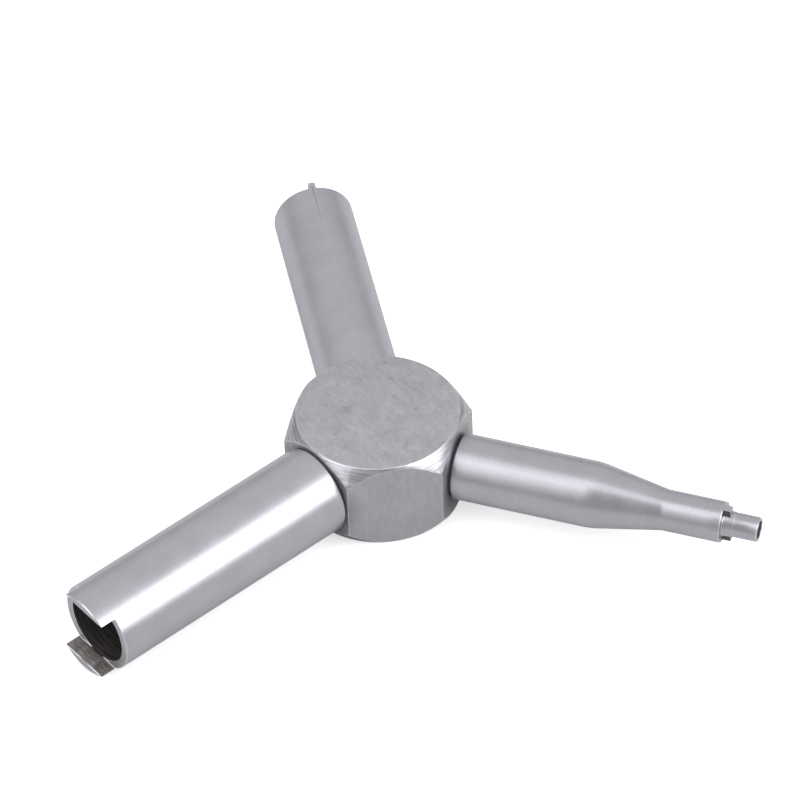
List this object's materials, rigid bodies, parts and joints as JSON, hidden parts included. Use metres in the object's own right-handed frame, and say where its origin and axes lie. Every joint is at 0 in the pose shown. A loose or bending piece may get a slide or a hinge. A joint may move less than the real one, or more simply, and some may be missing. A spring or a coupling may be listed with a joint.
{
  "type": "pronged spanner key",
  "caption": "Y-shaped steel spanner key: hexagonal hub with a wide pronged tube, a narrow pronged tube and a slim bladed tip with a hollow pilot.",
  "frame": {"origin": "centre of the hub's bottom face", "axes": "+Z along the hub's axis, up through its top face; +Y along the narrow prong arm; the wide prong arm points to 210 degrees and the slim tip arm to 330 degrees, counted from +X about +Z"},
  "size_m": [0.0837, 0.0708, 0.0123],
  "materials": {
    "hub_steel": "ground and brushed steel, turned corner chamfers",
    "tube_steel": "satin turned steel",
    "slim_steel": "satin turned steel",
    "stud_steel": "blackened threaded steel"
  },
  "bodies": {
    "root": {"hex_hub": "hub_steel", "wide_prong_arm": "tube_steel", "narrow_prong_arm": "tube_steel", "slim_tip_arm": "slim_steel", "wide_arm_stud": "stud_steel", "narrow_arm_stud": "stud_steel", "slim_arm_stud": "stud_steel"}
  },
  "joints": []
}
